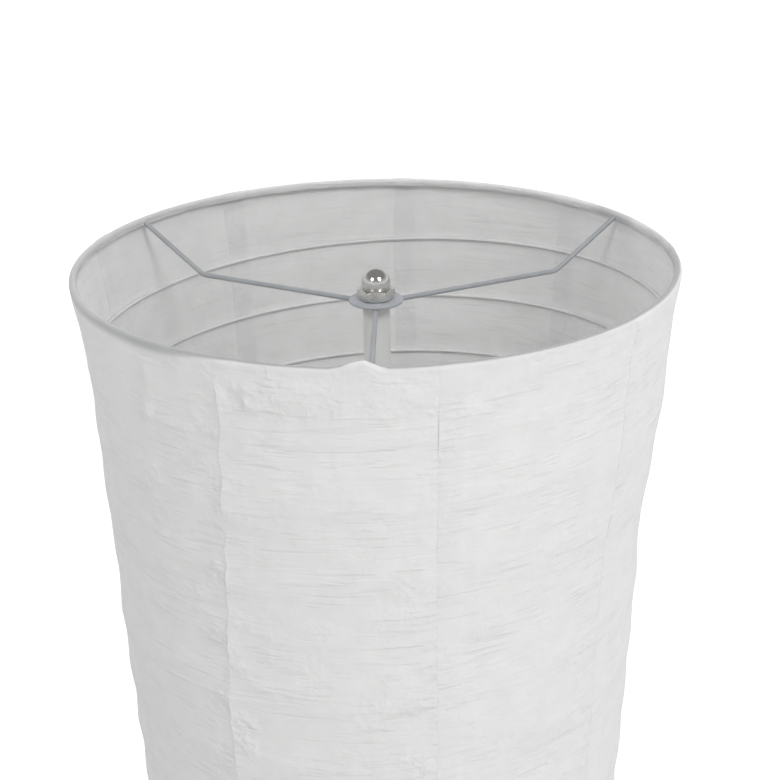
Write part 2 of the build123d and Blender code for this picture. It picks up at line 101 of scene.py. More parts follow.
def uneven_finish_group():
    """Node group: cloudy tone, uneven roughness and a fine grain, each at its own scale."""
    group, given, result = node_group(
        "Uneven finish",
        {"Vector": "Vector", "Light tone": "Color", "Dark tone": "Color", "Cloud scale": "Float",
         "Grain scale": "Float", "Smoothest": "Float", "Roughest": "Float"},
        {"Color": "Color", "Roughness": "Float", "Height": "Float"},
    )
    nodes, links = group.nodes, group.links
    clouds = nodes.new("ShaderNodeTexNoise")
    clouds.inputs["Detail"].default_value = 4
    grain = nodes.new("ShaderNodeTexNoise")
    grain.inputs["Detail"].default_value = 3
    spread = ranged(nodes, 0.3, 0.7)
    tone = mix_of_tones(nodes)
    both = maths(nodes, "MULTIPLY_ADD")
    gloss = ranged(nodes, 0.35, 1.05)
    links.new(given.outputs["Vector"], clouds.inputs["Vector"])
    links.new(given.outputs["Vector"], grain.inputs["Vector"])
    links.new(given.outputs["Cloud scale"], clouds.inputs["Scale"])
    links.new(given.outputs["Grain scale"], grain.inputs["Scale"])
    links.new(clouds.outputs["Fac"], spread.inputs["Value"])
    links.new(spread.outputs["Result"], tone.inputs["Factor"])
    links.new(given.outputs["Light tone"], tone.inputs["A"])
    links.new(given.outputs["Dark tone"], tone.inputs["B"])
    links.new(grain.outputs["Fac"], both.inputs[0])
    links.new(clouds.outputs["Fac"], both.inputs[2])
    links.new(both.outputs[0], gloss.inputs["Value"])
    links.new(given.outputs["Smoothest"], gloss.inputs["To Min"])
    links.new(given.outputs["Roughest"], gloss.inputs["To Max"])
    links.new(tone.outputs["Result"], result.inputs["Color"])
    links.new(gloss.outputs["Result"], result.inputs["Roughness"])
    links.new(grain.outputs["Fac"], result.inputs["Height"])
    return group


uneven_finish = uneven_finish_group()


def surface(name, light, dark, clouds, grain, gloss, relief, stretch=(1, 1, 1), **sockets):
    """Material with an uneven finish. Tones are RGB, scales are per metre and relief is in metres."""
    material = bpy.data.materials.new(name)
    material.use_nodes = True
    nodes, links = material.node_tree.nodes, material.node_tree.links
    shader = nodes["Principled BSDF"]
    coordinates = nodes.new("ShaderNodeTexCoord")
    mapping = nodes.new("ShaderNodeMapping")
    mapping.inputs["Scale"].default_value = stretch
    finish = nodes.new("ShaderNodeGroup")
    finish.name = "Finish"
    finish.node_tree = uneven_finish
    finish.inputs["Light tone"].default_value = (*light, 1)
    finish.inputs["Dark tone"].default_value = (*dark, 1)
    finish.inputs["Cloud scale"].default_value = clouds
    finish.inputs["Grain scale"].default_value = grain
    finish.inputs["Smoothest"].default_value = gloss[0]
    finish.inputs["Roughest"].default_value = gloss[1]
    bump = nodes.new("ShaderNodeBump")
    bump.inputs["Strength"].default_value = 1
    bump.inputs["Distance"].default_value = relief
    links.new(coordinates.outputs["Object"], mapping.inputs["Vector"])
    links.new(mapping.outputs["Vector"], finish.inputs["Vector"])
    links.new(finish.outputs["Color"], shader.inputs["Base Color"])
    links.new(finish.outputs["Roughness"], shader.inputs["Roughness"])
    links.new(finish.outputs["Height"], bump.inputs["Height"])
    links.new(bump.outputs["Normal"], shader.inputs["Normal"])
    for socket_name, value in sockets.items():
        shader.inputs[socket_name.replace("_", " ").title().replace("Ior", "IOR")].default_value = value
    return material


def dress(material, *nodes):
    """Give CAD nodes whose shape is right the material of the real surface."""
    for node in nodes:
        for material_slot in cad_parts[node].material_slots:
            material_slot.material = material


felt = surface(
    "Grey felt", (0.075, 0.075, 0.078), (0.035, 0.035, 0.037), 180, 2600, (0.92, 1.0), 0.35 * MM,
    sheen_weight=0.35, specular_ior_level=0.15,
)
dress(felt, "base_pad")

# Cast weight inside the base
# A plate of grey iron with a deep rim, cast in sand and dipped in thin black primer.
# The sand leaves it pitted, and the primer is duller in the hollows.
cast_iron = surface(
    "Black cast iron", (0.05, 0.05, 0.052), (0.022, 0.022, 0.024), 70, 520, (0.55, 0.85), 0.5 * MM,
    specular_ior_level=0.4,
)
dress(cast_iron, "base_weight")

# Base cover
# A dish of sheet steel, pressed in one piece and powder coated in warm white.
# The coat is satin, with the faint orange peel that powder leaves.
powder_coat = surface(
    "White powder coat", (0.84, 0.84, 0.832), (0.815, 0.815, 0.805), 9, 620, (0.3, 0.42), 0.03 * MM,
    coat_weight=0.12, coat_roughness=0.2,
)
dress(powder_coat, "base_cover")

# Fastening of the pole to the base
# A steel bush in the foot of the pole, a threaded tube through cover and weight, and a washer and
# nut under the plate, all zinc plated.
zinc_plate = surface(
    "Zinc plate", (0.66, 0.67, 0.69), (0.5, 0.51, 0.53), 260, 1500, (0.28, 0.45), 0.02 * MM,
    metallic=1,
)
dress(zinc_plate, "pole_foot_bush", "base_nipple", "base_washer", "base_nut")

# Mains inlet and terminal block
# A moulded rubber bush pushed into the back of the base, and a nylon block under the plate
# where the mains cord meets the two leads.
black_rubber = surface(
    "Black rubber", (0.03, 0.03, 0.031), (0.018, 0.018, 0.019), 300, 1700, (0.55, 0.75), 0.05 * MM,
    specular_ior_level=0.35,
)
dress(black_rubber, "cord_bushing")
nylon = surface(
    "Natural nylon", (0.78, 0.78, 0.74), (0.72, 0.72, 0.68), 120, 1400, (0.4, 0.55), 0.03 * MM,
    subsurface_weight=0.1,
)
dress(nylon, "terminal_block")
lead_sheath = surface(
    "White lead sheath", (0.8, 0.8, 0.78), (0.74, 0.74, 0.72), 150, 900, (0.35, 0.5), 0.02 * MM,
)
dress(lead_sheath, "lower_lead", "upper_lead")

# Pole, couplings and socket arms
# Drawn steel tube in three lengths, pushed onto cast couplings. The bent arms are thinner tube,
# held in the side sockets by grub screws. All are powder coated, the screws are zinc plated.
dress(
    powder_coat,
    "pole_lower", "pole_middle", "pole_upper", "lower_tee", "upper_tee", "lower_socket_arm",
    "upper_socket_arm",
)
dress(zinc_plate, "lower_arm_screw", "upper_arm_screw")

# Lock nuts under the holders
# Thin zinc plated hexagon nuts on the threaded ends of the arms, chamfered on both faces.
LIGHTS = ("lower", "upper")


def middle_of(node):
    """Middle of a node's box."""
    low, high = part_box(node)
    return (low + high) / 2


def turned(profile, axis=(0, 0), sides=64):
    """Mesh object turned from (radius, height) points: rings drawn up from the first point."""
    bpy.ops.object.select_all(action="DESELECT")
    radius, height = profile[0]
    bpy.ops.mesh.primitive_circle_add(vertices=sides, radius=radius, location=(*axis, height))
    piece = bpy.context.object
    bpy.ops.object.mode_set(mode="EDIT")
    bpy.ops.mesh.select_mode(type="VERT")
    bpy.ops.mesh.select_all(action="SELECT")
    for next_radius, next_height in profile[1:]:
        bpy.ops.mesh.extrude_region_move(
            TRANSFORM_OT_translate={"value": (0, 0, next_height - height)}
        )
        share = next_radius / radius
        bpy.ops.transform.resize(value=(share, share, 1), center_override=(*axis, next_height))
        radius, height = next_radius, next_height
    bpy.ops.mesh.select_all(action="SELECT")
    if profile[0] == profile[-1]:
        bpy.ops.mesh.remove_doubles(threshold=0.001 * MM)
    else:
        bpy.ops.mesh.fill_holes(sides=0)
        bpy.ops.mesh.select_all(action="SELECT")
    bpy.ops.mesh.normals_make_consistent(inside=False)
    bpy.ops.object.mode_set(mode="OBJECT")
    return piece


def cut_to_hexagon(piece, across_flats, low, high, axis=(0, 0)):
    """Keep what of the piece lies in an upright hexagon whose flats face -Y and +Y."""
    bpy.ops.object.select_all(action="DESELECT")
    bpy.ops.mesh.primitive_cylinder_add(
        vertices=6,
        radius=across_flats / sqrt(3),
        depth=high - low,
        location=(*axis, (low + high) / 2),
        rotation=(0, 0, radians(30)),
    )
    hexagon = bpy.context.object
    cut = piece.modifiers.new("Hexagon", "BOOLEAN")
    cut.operation = "INTERSECT"
    cut.object = hexagon
    bpy.context.view_layer.objects.active = piece
    bpy.ops.object.modifier_apply(modifier=cut.name)
    bpy.data.objects.remove(hexagon)


def soften(piece, width, segments=2, angle=30):
    """Round the sharp edges of a piece a little."""
    bevel = piece.modifiers.new("Softened edges", "BEVEL")
    bevel.width = width
    bevel.segments = segments
    bevel.limit_method = "ANGLE"
    bevel.angle_limit = radians(angle)
    bpy.context.view_layer.objects.active = piece
    bpy.ops.object.modifier_apply(modifier=bevel.name)


def place(piece, name, body, slot, material, *nodes, smooth=32):
    """Finish a piece: its place goes into its mesh, and it rides with its body."""
    bpy.ops.object.select_all(action="DESELECT")
    piece.select_set(True)
    bpy.context.view_layer.objects.active = piece
    bpy.ops.object.transform_apply(location=True, rotation=True, scale=True)
    bpy.ops.object.shade_smooth_by_angle(angle=radians(smooth))
    piece.name = name
    piece.data.materials.clear()
    piece.data.materials.append(material)
    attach(piece, body)
    if nodes:
        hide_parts(*nodes)
    return piece


lock_nut_bore = 5.05 * MM
lock_nut_chamfer = 0.5 * MM
for light in LIGHTS:
    low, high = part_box(f"{light}_lock_nut")
    centre = middle_of(f"{light}_lock_nut")
    across_flats = high.y - low.y
    corner = across_flats / sqrt(3)
    flat = across_flats / 2
    blank = [
        (lock_nut_bore, low.z),
        (flat, low.z),
        (corner, low.z + lock_nut_chamfer),
        (corner, high.z - lock_nut_chamfer),
        (flat, high.z),
        (lock_nut_bore, high.z),
        (lock_nut_bore, low.z),
    ]
    lock_nut = turned(blank, axis=centre.xy)
    cut_to_hexagon(lock_nut, across_flats, low.z, high.z, axis=centre.xy)
    place(lock_nut, f"{light}_lock_nut_turned", "stand", "zinc_steel", zinc_plate, f"{light}_lock_nut")

# Bulb holders
# Two moulded white shells screwed together round a ceramic core. The upper one has fine ribs for
# the fingers. Inside, a brass screw shell and a sprung centre contact are riveted to the core.
holder_plastic = surface(
    "White holder plastic", (0.84, 0.84, 0.82), (0.8, 0.8, 0.775), 60, 1100, (0.22, 0.32), 0.015 * MM,
    coat_weight=0.2, coat_roughness=0.15,
)
ceramic = surface(
    "Unglazed ceramic", (0.8, 0.79, 0.76), (0.73, 0.72, 0.69), 110, 1300, (0.7, 0.85), 0.06 * MM,
)
brass = surface(
    "Rolled brass", (0.8, 0.6, 0.28), (0.66, 0.47, 0.2), 220, 1200, (0.22, 0.4), 0.015 * MM,
    stretch=(1, 1, 0.2), metallic=1,
)
grip_low = 4 * MM           # above the joint between the two shells
grip_high = 15 * MM
grip_depth = 0.5 * MM
holder_wall = 2.0 * MM
holder_lip = 0.8 * MM
holder_foot = 0.3 * MM
rib_share = 0.9             # the ribs stop just short of the wall round them
rib_sides = 96              # every other side of the band is a rib
for light in LIGHTS:
    low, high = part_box(f"{light}_holder_skirt")
    centre = middle_of(f"{light}_holder_skirt")
    outer = (high.x - low.x) / 2
    bore = outer - holder_wall
    skirt_profile = [
        (bore, low.z),
        (outer - holder_foot, low.z),
        (outer, low.z + holder_foot),
        (outer, low.z + grip_low - grip_depth),
        (outer - grip_depth, low.z + grip_low),
        (outer - grip_depth, low.z + grip_high),
        (outer, low.z + grip_high + grip_depth),
        (outer, high.z - holder_lip),
        (outer - holder_lip, high.z),
        (bore, high.z),
        (bore, low.z),
    ]
    skirt = turned(skirt_profile, axis=centre.xy, sides=rib_sides)
    bpy.ops.object.mode_set(mode="EDIT")
    bpy.ops.mesh.select_mode(type="FACE")
    bpy.ops.mesh.select_all(action="DESELECT")
    bpy.ops.object.mode_set(mode="OBJECT")
    for face in skirt.data.polygons:
        middle = Vector(face.center) + skirt.location
        out = middle.xy - centre.xy
        side = round(atan2(out.y, out.x) / (2 * pi / rib_sides) - 0.5)
        in_band = low.z + grip_low < middle.z < low.z + grip_high
        face.select = in_band and out.length > bore + 0.5 * MM and side % 2 == 0
    bpy.ops.object.mode_set(mode="EDIT")
    bpy.ops.mesh.extrude_faces_move(
        MESH_OT_extrude_faces_indiv={"mirror": False},
        TRANSFORM_OT_shrink_fatten={"value": grip_depth * rib_share},
    )
    bpy.ops.object.mode_set(mode="OBJECT")
    place(
        skirt, f"{light}_holder_skirt_ribbed", "stand", "holder_plastic", holder_plastic,
        f"{light}_holder_skirt",
    )
    dress(holder_plastic, f"{light}_holder_cap")
    dress(ceramic, f"{light}_holder_core")
    dress(brass, f"{light}_screw_shell", f"{light}_contact")

# Bulbs
# A screw cap of aluminium, whose rolled thread is left plain here, and an opal glass envelope: a
# round crown that runs down through a smooth shoulder into a narrow neck, cemented into the cap.
bulb_aluminium = surface(
    "Bulb cap aluminium", (0.78, 0.78, 0.79), (0.66, 0.66, 0.67), 240, 1500, (0.22, 0.38), 0.01 * MM,
    metallic=1,
)
opal_glass = surface(
    "Opal glass", (0.9, 0.9, 0.885), (0.88, 0.88, 0.862), 25, 1500, (0.28, 0.34), 0.004 * MM,
    coat_weight=0.6, coat_roughness=0.06, transmission_weight=0.1,
)
bulb_neck = 14.0 * MM
bulb_neck_rise = 9 * MM         # from the rim of the cap up to where the shoulder starts
bulb_stem = 12.65 * MM
bulb_stem_depth = 5.0 * MM      # length of the neck inside the cap
bulb_flare = 1.4 * MM           # rise over which the glass widens just above the cap
bulb_tip = 0.02 * MM            # a tiny circle that closes the top
crown_start = radians(-25)      # how far below its middle the ball of the crown starts
crown_steps = 22
shoulder_steps = 12
for light in LIGHTS:
    low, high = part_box(f"{light}_bulb_glass")
    centre = middle_of(f"{light}_bulb_glass")
    crown = (high.x - low.x) / 2
    ball_height = high.z - crown
    foot = low.z + bulb_stem_depth
    outline = [(bulb_stem, low.z), (bulb_stem, foot), (bulb_neck, foot + bulb_flare)]
    join_radius = crown * cos(crown_start)
    join_height = ball_height + crown * sin(crown_start)
    neck_top = foot + bulb_neck_rise
    reach = join_height - neck_top
    slope = sin(-crown_start) / cos(-crown_start)
    for step in range(shoulder_steps + 1):
        share = step / shoulder_steps
        blend = 3 * share**2 - 2 * share**3
        bend = slope * reach * (share**3 - share**2)
        radius = bulb_neck * (1 - blend) + join_radius * blend + bend
        outline.append((radius, neck_top + reach * share))
    for step in range(1, crown_steps):
        turn = crown_start + (pi / 2 - crown_start) * step / crown_steps
        outline.append((crown * cos(turn), ball_height + crown * sin(turn)))
    outline.append((bulb_tip, high.z))
    bulb = turned(outline, axis=centre.xy, sides=72)
    place(
        bulb, f"{light}_bulb_opal", f"{light}_bulb", "bulb_glass", opal_glass, f"{light}_bulb_glass"
    )
    dress(bulb_aluminium, f"{light}_bulb_cap")

# Top of the pole
# A zinc plated plug pressed into the tube, with the stud that carries the shade, and a nickel
# washer on which the hub rests.
nickel = surface(
    "Polished nickel", (0.78, 0.772, 0.755), (0.68, 0.672, 0.655), 160, 1800, (0.08, 0.16), 0.004 * MM,
    metallic=1,
)
dress(zinc_plate, "top_plug")
dress(nickel, "seat_washer")

# Spider
# Three arms of steel wire, straightened, bent and welded under a flat pressed hub, all with a thin
# pale grey coating. Their outer ends are welded to the top ring.
coated_wire = surface(
    "Grey coated wire", (0.47, 0.485, 0.505), (0.41, 0.425, 0.445), 45, 900, (0.4, 0.55), 0.02 * MM,
    metallic=0.15,
)
dress(coated_wire, "spider_arm_front", "spider_arm_right", "spider_arm_left")

hub_low, hub_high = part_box("spider_hub")
hub_radius = hub_high.x
hub_bore = 5.2 * MM
hub_edge = 0.7 * MM
hub_corner_in = 0.2 * MM
hub_corner_up = 0.3 * MM
hub_profile = [
    (hub_bore, hub_low.z),
    (hub_radius - hub_edge, hub_low.z),
    (hub_radius - hub_corner_in, hub_low.z + hub_corner_up),
    (hub_radius, hub_low.z + hub_edge),
    (hub_radius, hub_high.z - hub_edge),
    (hub_radius - hub_corner_in, hub_high.z - hub_corner_up),
    (hub_radius - hub_edge, hub_high.z),
    (hub_bore, hub_high.z),
    (hub_bore, hub_low.z),
]
hub_finish = surface(
    "Hub coating", (0.5, 0.52, 0.55), (0.45, 0.47, 0.5), 60, 900, (0.4, 0.55), 0.02 * MM,
    metallic=0.15,
)
place(turned(hub_profile, sides=96), "spider_hub_pressed", "shade", "zinc_wire", hub_finish, "spider_hub")

# End rings and hoops
# Two rings of thicker wire that the paper is wrapped over, and thin hoops glued inside it every
# 40 mm, white from coating and glue. No hoop is quite round, and all lean, lower on the left.
hoop_finish = surface(
    "White hoop wire", (0.86, 0.86, 0.855), (0.78, 0.78, 0.78), 70, 700, (0.6, 0.8), 0.08 * MM,
)
dress(hoop_finish, "top_ring", "bottom_ring")
rim_low, rim_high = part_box("top_ring")
foot_low, foot_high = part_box("bottom_ring")
rim_height = (rim_low.z + rim_high.z) / 2
foot_height = (foot_low.z + foot_high.z) / 2
wire_radius = (rim_high.z - rim_low.z) / 2
column_half = (rim_height - foot_height) / 2
strip_allowance = 0.6 * MM      # room for the paper, with its folds and glue, outside the wire
glue = 0.05 * MM
end_radius = rim_high.x + glue + strip_allowance
waist_radius = 146.0 * MM
hoop_spaces = 30
hoop_pitch = (rim_height - foot_height) / hoop_spaces
hoop_lean = tan(radians(2.6))
hoop_wire_radius = 1.05 * MM
hoop_sides = 144
hoop_wire_sides = 8
# How much larger than its place each of the upper hoops was bent, in mm, counted from the top
hoop_misfit = {1: -1.2, 2: 0.1, 3: 0.0, 4: -0.4, 5: 1.6, 6: 2.3, 7: 2.6, 8: 2.8, 9: 2.4, 10: 1.8}
sideways = -3.0 * MM            # the column hangs this far to the left below its first few hoops


def smooth_step(low, high, value):
    """0 below low, 1 above high, and a smooth rise between."""
    share = min(max((value - low) / (high - low), 0), 1)
    return share * share * (3 - 2 * share)


def column_radius(height):
    """Radius over the paper, narrowest halfway up."""
    share = (height - foot_height) / column_half - 1
    return waist_radius + (end_radius - waist_radius) * share * share


def hoop_push(number, turn):
    """How far a hoop bulges the paper outwards at an angle, because it was bent by hand."""
    if number <= 0 or number >= hoop_spaces:
        return 0
    wave = noise.noise(Vector((1.3 * cos(turn), 1.3 * sin(turn), 4.7 * number)))
    size = hoop_misfit.get(number, 1.2 + 1.6 * noise.noise(Vector((0.3, 0.6, 2.3 * number))))
    size *= min(1, (hoop_spaces - number) / 6)
    shift = sideways * smooth_step(2, 4.2, number) * smooth_step(0, 12, hoop_spaces - number)
    return (size + 0.9 * wave) * MM + shift * cos(turn)


def leaned(level, turn):
    """Height of the paper at an angle, where a level leans with the hoops."""
    from_end = min(rim_height - level, level - foot_height)
    return level + smooth_step(0, hoop_pitch, from_end) * hoop_lean * column_radius(level) * cos(turn)


hoop_groups = ("hoops_upper", "hoops_middle", "hoops_lower")
group_size = ceil((hoop_spaces - 1) / len(hoop_groups))
for place_in_column, group in enumerate(hoop_groups):
    members = []
    first = 1 + place_in_column * group_size
    for number in range(first, min(first + group_size, hoop_spaces)):
        level = rim_height - number * hoop_pitch
        radius = column_radius(level)
        bpy.ops.object.select_all(action="DESELECT")
        bpy.ops.mesh.primitive_torus_add(
            major_radius=radius, minor_radius=hoop_wire_radius, major_segments=hoop_sides,
            minor_segments=hoop_wire_sides,
        )
        hoop = bpy.context.object
        for vertex in hoop.data.vertices:
            turn = atan2(vertex.co.y, vertex.co.x)
            height = leaned(level, turn)
            fitted = column_radius(height) + hoop_push(number, turn) - strip_allowance
            reach = fitted - glue - hoop_wire_radius + vertex.co.xy.length - radius
            vertex.co = (reach * cos(turn), reach * sin(turn), height + vertex.co.z)
        members.append(hoop)
    for hoop in members:
        hoop.select_set(True)
    bpy.context.view_layer.objects.active = members[0]
    bpy.ops.object.join()
    place(members[0], f"{group}_bent", "shade", "zinc_wire", hoop_finish, group, smooth=80)

# Paper column
# Nine strips of white crepe paper, glued to the hoops side by side and folded over both end
# rings. Each strip lies on its neighbour with a free edge, and the paper sags between hoops.
strip_count = 9
strip_angle = radians(360 / strip_count)
first_seam = radians(-79.7)
lap_angle = radians(4.9)
lap_ramp = radians(0.4)         # arc over which a strip climbs onto its neighbour
paper_sheet = 0.25 * MM         # one layer of crepe paper
flap_length = 2.0 * MM          # the paper runs on this far behind each ring
wrap_radius = wire_radius + glue + paper_sheet / 2
mean_radius = 155 * MM          # at which arcs along a strip are measured
strip_arc = strip_angle * mean_radius
strip_columns = 48
fine_depth = 250 * MM           # creases are shaped finely this far down, and coarser below
fine_step = 0.8 * MM
coarse_step = 1.9 * MM
wrap_rows = 12
flap_rows = 3
flap_return = 0.25              # and comes back towards the wall by this, in radii of the wrap
left_seam_strip = 8             # its free edge is the crumpled seam on the left of the front
right_seam_strip = 0            # its free edge is the straight seam on the right of the front
gather_middle = 0.605           # share across a strip round which its columns are gathered
gather_pull = 0.7
front_arm_angle = radians(-91.9)
right_arm_angle = radians(28)
tent_height = 4.2 * MM          # the paper rides over the end of the front arm
tent_left = 17 * MM
tent_right = 8 * MM
tent_fall = 12 * MM
tent_shift = 0.55 * MM          # its ridge lies this far to the left of the arm
fold_angle = radians(-132.5)    # one upright fold on the left of the front, just under the rim
fold_drift = radians(3.3)       # it runs this far to the left on its way down
fold_drift_depth = 40 * MM
fold_height = 1.7 * MM
fold_left = 1.8 * MM
fold_right = 6 * MM
# The rim band of glue soak and painted shade reaches no further down than this
soak_and_shade_depth = 30 * MM           # no glue shows further down than this


def strip_lines():
    """Lines across a strip from its upper flap to its lower one: the level that each belongs to,
    which way it faces, outwards and upwards, how far it slides from there, and its flat place."""
    wall = rim_height - foot_height
    wrap = pi * wrap_radius
    lines = []
    for row in range(flap_rows):
        share = 1 - row / flap_rows
        back = flap_return * share * share * (3 - 2 * share)
        slide = -flap_length * share
        lines.append((rim_height, back - 1, 0, slide, slide - wrap))
    for row in range(wrap_rows):
        bend = pi * row / wrap_rows
        lines.append((rim_height, -cos(bend), sin(bend), 0, wrap_radius * bend - wrap))
    down = 0
    while down < wall - coarse_step / 2:
        lines.append((rim_height - down, 1, 0, 0, down))
        down += fine_step if down < fine_depth else coarse_step
    for row in range(wrap_rows + 1):
        bend = pi * row / wrap_rows
        lines.append((foot_height, cos(bend), -sin(bend), 0, wall + wrap_radius * bend))
    for row in range(1, flap_rows + 1):
        share = row / flap_rows
        back = flap_return * share * share * (3 - 2 * share)
        slide = flap_length * share
        lines.append((foot_height, back - 1, 0, slide, wall + wrap + slide))
    return lines


def gathered(across):
    """Share across a strip, with the columns of its grid gathered round the fold or the front arm."""
    wave = sin(2 * pi * (across - gather_middle)) + sin(2 * pi * gather_middle)
    return across - gather_pull * wave / (2 * pi)


def angle_between(turn, other):
    """Angle from another direction to this one, between half a turn back and half a turn on."""
    return (turn - other + pi) % (2 * pi) - pi


def free_edge(strip, level):
    """Angle by which a strip's free edge strays from its place at a level."""
    strip = strip % strip_count
    depth = rim_height - level
    slow = noise.noise(Vector((0.4 + 3.1 * strip, 5.0 * level, 0.5)))
    quick = noise.noise(Vector((7.7 + 3.1 * strip, 40.0 * level, 0.5)))
    if strip == right_seam_strip:
        return radians(-0.5) * (1 - smooth_step(0.1, 0.3, depth)) + radians(0.14) * quick
    if strip == left_seam_strip:
        ragged = noise.noise(Vector((2.7, 130.0 * level, 0.5)))
        drift = 2.2 - 4.9 * smooth_step(-0.03, 0.3, depth)
        return radians(drift + 0.45 * quick + 0.55 * ragged)
    return radians(1.0) * slow + radians(0.22) * quick


def gape(strip, level):
    """How far a free edge stands off the strip below, in mm."""
    strip = strip % strip_count
    depth = rim_height - level
    wave = noise.noise(Vector((1.9 + 5.3 * strip, 45 * level, 9.1)))
    if strip == left_seam_strip:
        return max(0.3 + 0.7 * wave, 0)
    if strip == right_seam_strip:
        return max(0.1 + 0.9 * wave, 0) * (1 - 0.9 * smooth_step(0.08, 0.13, depth))
    if strip == right_seam_strip + 1:
        return max(0.25 * wave, 0)
    return max(0.6 * wave, 0)


def crumpling(strip, around, level):
    """Share from 0 to 1 of how crumpled a place on a strip is: most by the left seam, in patches."""
    seed = 11.3 * (strip % strip_count)
    patch = noise.noise(Vector((14 * around + seed, 13 * level, 4.4)))
    by_left = 1 - smooth_step(4 * MM, 34 * MM, around)
    by_right = 1 - smooth_step(4 * MM, 34 * MM, strip_arc - around)
    by_seam = max(
        by_left * (1.0 if strip % strip_count == left_seam_strip else 0.35),
        by_right * (1.0 if strip % strip_count == left_seam_strip - 1 else 0.3),
    )
    left_side = 0.1 if strip % strip_count == left_seam_strip else 0
    return min(max(0.75 * by_seam + left_side + 0.9 * patch, 0), 1)


def crinkles(strip, around, level, crumpled):
    """Relief of a strip's crepe, outwards: soft waves across it, and facets where it is crumpled."""
    seed = 11.3 * (strip % strip_count)
    tilt = 6 * MM * noise.noise(Vector((9 * around + seed, 9 * level, 3.3)))
    lifted = level + tilt
    waves = noise.noise(Vector((17 * around + seed, 75 * lifted, 1.7)))
    ridges = 1 - abs(noise.noise(Vector((24 * around + seed, 140 * lifted, 6.1))))
    strength = smooth_step(-0.25, 0.4, noise.noise(Vector((21 * around + seed, 19 * level, 7.7))))
    spot = Vector((around / (7.5 * MM) + seed, level / (7 * MM), 2.2))
    cell = noise.voronoi(spot)[1][0]
    lean = noise.noise_vector(3.7 * cell)
    facet = 0.45 * lean.dot(spot - cell) + 0.12 * noise.noise(5.1 * cell)
    flat_part = 0.2 * waves + 0.2 * strength * ridges**4
    return ((1 - 0.4 * crumpled) * flat_part + 0.48 * crumpled * facet) * MM


def hoop_creases(turn, depth):
    """The thin broken fold that the glue line of each hoop draws in the paper."""
    number = round(depth / hoop_pitch)
    if number < 1 or number >= hoop_spaces:
        return 0
    wander = 2.2 * MM * noise.noise(Vector((4.1 * cos(turn), 4.1 * sin(turn), 1.9 * number)))
    off = (depth - number * hoop_pitch + 1.5 * MM + wander) / (0.9 * MM)
    if abs(off) > 4:
        return 0
    strength = noise.noise(Vector((3.4 * cos(turn), 3.4 * sin(turn), 2.9 * number + 7)))
    strength = smooth_step(0.0, 0.4, strength)
    return strength * (-0.28 / (1 + off**4) + 0.2 / (1 + (off - 2.2) ** 4)) * MM


def paper_swell(turn, level):
    """How far the paper stands out between and at the hoops: it sags in between them."""
    depth = (rim_height - level) / hoop_pitch
    bay = min(max(floor(depth), 0), hoop_spaces - 1)
    share = min(max(depth - bay, 0), 1)
    ease = share * share * (3 - 2 * share)
    between = sin(pi * share)
    hoops = hoop_push(bay, turn) * (1 - ease) + hoop_push(bay + 1, turn) * ease
    sag = 0.55 + 0.9 * noise.noise(Vector((2.2 * cos(turn), 2.2 * sin(turn), 3.9 * bay + 20)))
    dent = 0.5 * noise.noise(Vector((2.6 * cos(turn), 2.6 * sin(turn), 15 * level)))
    return hoops - (sag * between**1.4 + dent * between) * MM + hoop_creases(turn, rim_height - level)


def glue_soak_and_shade(turn, run):
    """Share by which the paper is darkened round the rims: partly glue soaked into it, so that the wire
    under it shows through, and partly painted shade, wider on the left of the front and fading out at
    the back. The run is measured along the paper from the top of the upper ring, down outside."""
    over_wire = pi * wrap_radius / 2
    # Painted shade: on the left of the front, where less light falls, the dark band reaches further and
    # smears down
    at_left = 1 - smooth_step(radians(25), radians(75), abs(angle_between(turn, radians(180))))
    patch = noise.noise(Vector((2.3 * cos(turn), 2.3 * sin(turn), 4.4)))
    reach = over_wire * (0.38 + 0.45 * at_left)
    from_tent = abs(angle_between(turn, front_arm_angle)) * end_radius
    reach -= 3 * MM * (1 - smooth_step(4 * MM, 12 * MM, from_tent))
    in_front = smooth_step(radians(180), radians(215), turn % (2 * pi))
    smear = 14 * MM * at_left * max(0.35 + patch, 0) * in_front
    outside = 1 - smooth_step(reach - 0.6 * MM, reach + 0.6 * MM + smear, run)
    jagged = noise.noise(Vector((9 * cos(turn), 9 * sin(turn), 1.2)))
    by_arm = 1 - smooth_step(radians(4), radians(9), abs(angle_between(turn, right_arm_angle)))
    inside = smooth_step(-over_wire - flap_length, -over_wire + 0.5 * MM, run + 1.5 * MM * jagged)
    # The darkening fades out towards the back of the rim
    at_back = smooth_step(-0.2, 0.5, sin(turn)) * (1 - 0.6 * at_left)
    strength = (1 - at_back) * (1 - 0.25 * at_left)
    return outside * max((0.25 + 0.75 * inside) * strength, 0.5 * by_arm)


